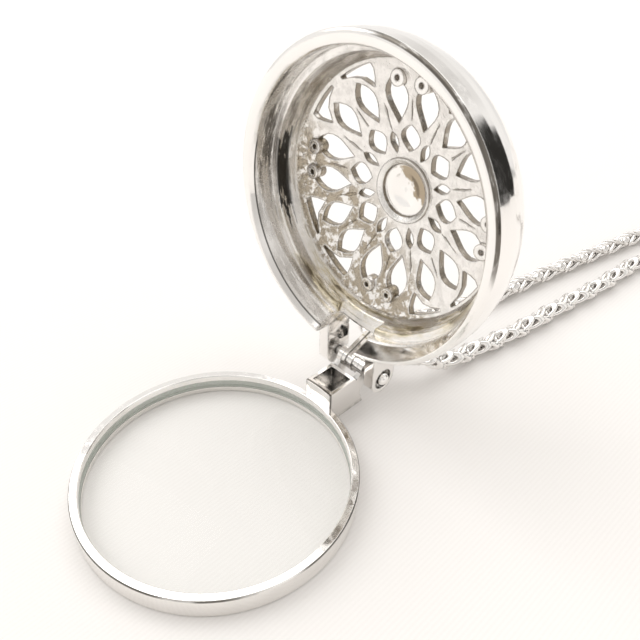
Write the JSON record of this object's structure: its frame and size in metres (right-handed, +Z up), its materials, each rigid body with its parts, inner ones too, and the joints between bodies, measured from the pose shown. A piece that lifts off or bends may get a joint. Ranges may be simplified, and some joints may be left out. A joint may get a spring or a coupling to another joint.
{
  "type": "magnifier pendant",
  "caption": "Long chain pendant with a framed round magnifying lens that folds into a domed, pierced silver cover, shown open.",
  "frame": {"origin": "centre of the lens on the surface that the lens frame lies on", "axes": "+Z up through the lens, +X from the lens centre to the hinge and along the chain, +Y along the hinge pin"},
  "size_m": [0.3822, 0.1356, 0.0585],
  "materials": {
    "polished_silver": "polished",
    "cast_silver": "polished rim, grainy cast inside",
    "chain_silver": "polished",
    "lens_glass": "clear"
  },
  "bodies": {
    "base": {"lens_frame": "polished_silver", "lens": "lens_glass", "hinge_pin": "polished_silver", "bail": "polished_silver", "chain": "chain_silver", "clasp": "polished_silver"},
    "cover": {"cover": "cast_silver"}
  },
  "joints": [
    {"name": "cover_fold", "type": "hinge", "parent": "base", "child": "cover", "pos_m": [0.0288, 0, 0.0065], "axis": [0, 1, 0], "range_deg": [-94.9, 35]}
  ]
}
